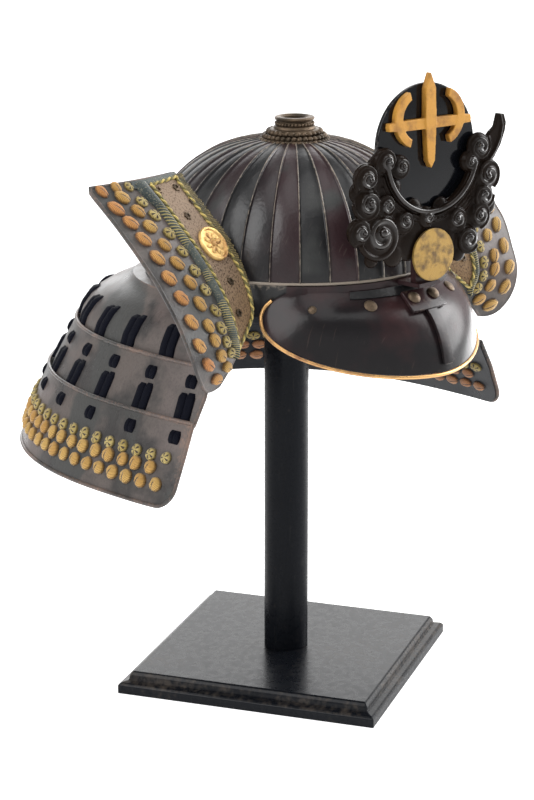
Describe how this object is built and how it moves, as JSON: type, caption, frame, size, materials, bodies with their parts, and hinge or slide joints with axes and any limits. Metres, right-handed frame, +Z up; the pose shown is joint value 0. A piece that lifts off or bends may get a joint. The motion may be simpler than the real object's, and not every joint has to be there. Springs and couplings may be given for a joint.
{
  "type": "kabuto helmet on a display stand",
  "caption": "Ribbed samurai helmet with a laced neck guard, turned-back wings and a carved cloud crest, carried by a plain column on a square board.",
  "frame": {"origin": "centre of the stand's foot, on the surface it rests on", "axes": "+Z up, the helmet faces -Y, the wearer's right is -X"},
  "size_m": [0.42, 0.3814, 0.509],
  "materials": {
    "black_wood": "matte black paint, worn at the edges",
    "bowl_lacquer": "black-brown lacquer, semi-gloss, worn ribs",
    "russet_lames": "grey-brown satin lacquer, worn rims",
    "old_bronze": "dark patinated bronze",
    "gilt": "worn gilding",
    "old_gold": "rubbed old gold",
    "carved_wood": "dark lacquered carving, silvery wear",
    "gloss_black": "polished black lacquer",
    "navy_silk": "flat braided silk",
    "printed_leather": "speckled printed leather"
  },
  "bodies": {
    "root": {"stand_board": "black_wood", "stand_column": "black_wood", "bowl": "bowl_lacquer", "brow_band": "bowl_lacquer", "visor": "bowl_lacquer", "holder_plate": "bowl_lacquer", "crest_holder": "bowl_lacquer", "neck_lame_top": "russet_lames", "neck_lame_middle": "russet_lames", "neck_lame_bottom": "russet_lames", "turnback_right": "russet_lames", "turnback_left": "russet_lames", "crown_petals": "old_bronze", "crown_beads": "old_bronze", "crown_collar": "old_bronze", "visor_rivet_right": "old_bronze", "visor_rivet_left": "old_bronze", "holder_rivet_right": "old_bronze", "holder_rivet_left": "old_bronze", "visor_rim": "gilt", "crest_ornament": "gilt", "crest_medallion": "old_gold", "rosette_right": "old_gold", "rosette_left": "old_gold", "crest_clouds": "carved_wood", "crest_disc": "gloss_black", "lace_upper_01": "navy_silk", "lace_upper_02": "navy_silk", "lace_upper_03": "navy_silk", "lace_upper_04": "navy_silk", "lace_upper_05": "navy_silk", "lace_upper_06": "navy_silk", "lace_upper_07": "navy_silk", "lace_upper_08": "navy_silk", "lace_upper_09": "navy_silk", "lace_upper_10": "navy_silk", "lace_upper_11": "navy_silk", "lace_upper_12": "navy_silk", "lace_upper_13": "navy_silk", "lace_upper_14": "navy_silk", "lace_upper_15": "navy_silk", "lace_upper_16": "navy_silk", "lace_lower_01": "navy_silk", "lace_lower_02": "navy_silk", "lace_lower_03": "navy_silk", "lace_lower_04": "navy_silk", "lace_lower_05": "navy_silk", "lace_lower_06": "navy_silk", "lace_lower_07": "navy_silk", "lace_lower_08": "navy_silk", "lace_lower_09": "navy_silk", "lace_lower_10": "navy_silk", "lace_lower_11": "navy_silk", "lace_lower_12": "navy_silk", "lace_lower_13": "navy_silk", "lace_lower_14": "navy_silk", "lace_lower_15": "navy_silk", "lace_lower_16": "navy_silk", "leather_panel_right": "printed_leather", "leather_panel_left": "printed_leather"}
  },
  "joints": []
}
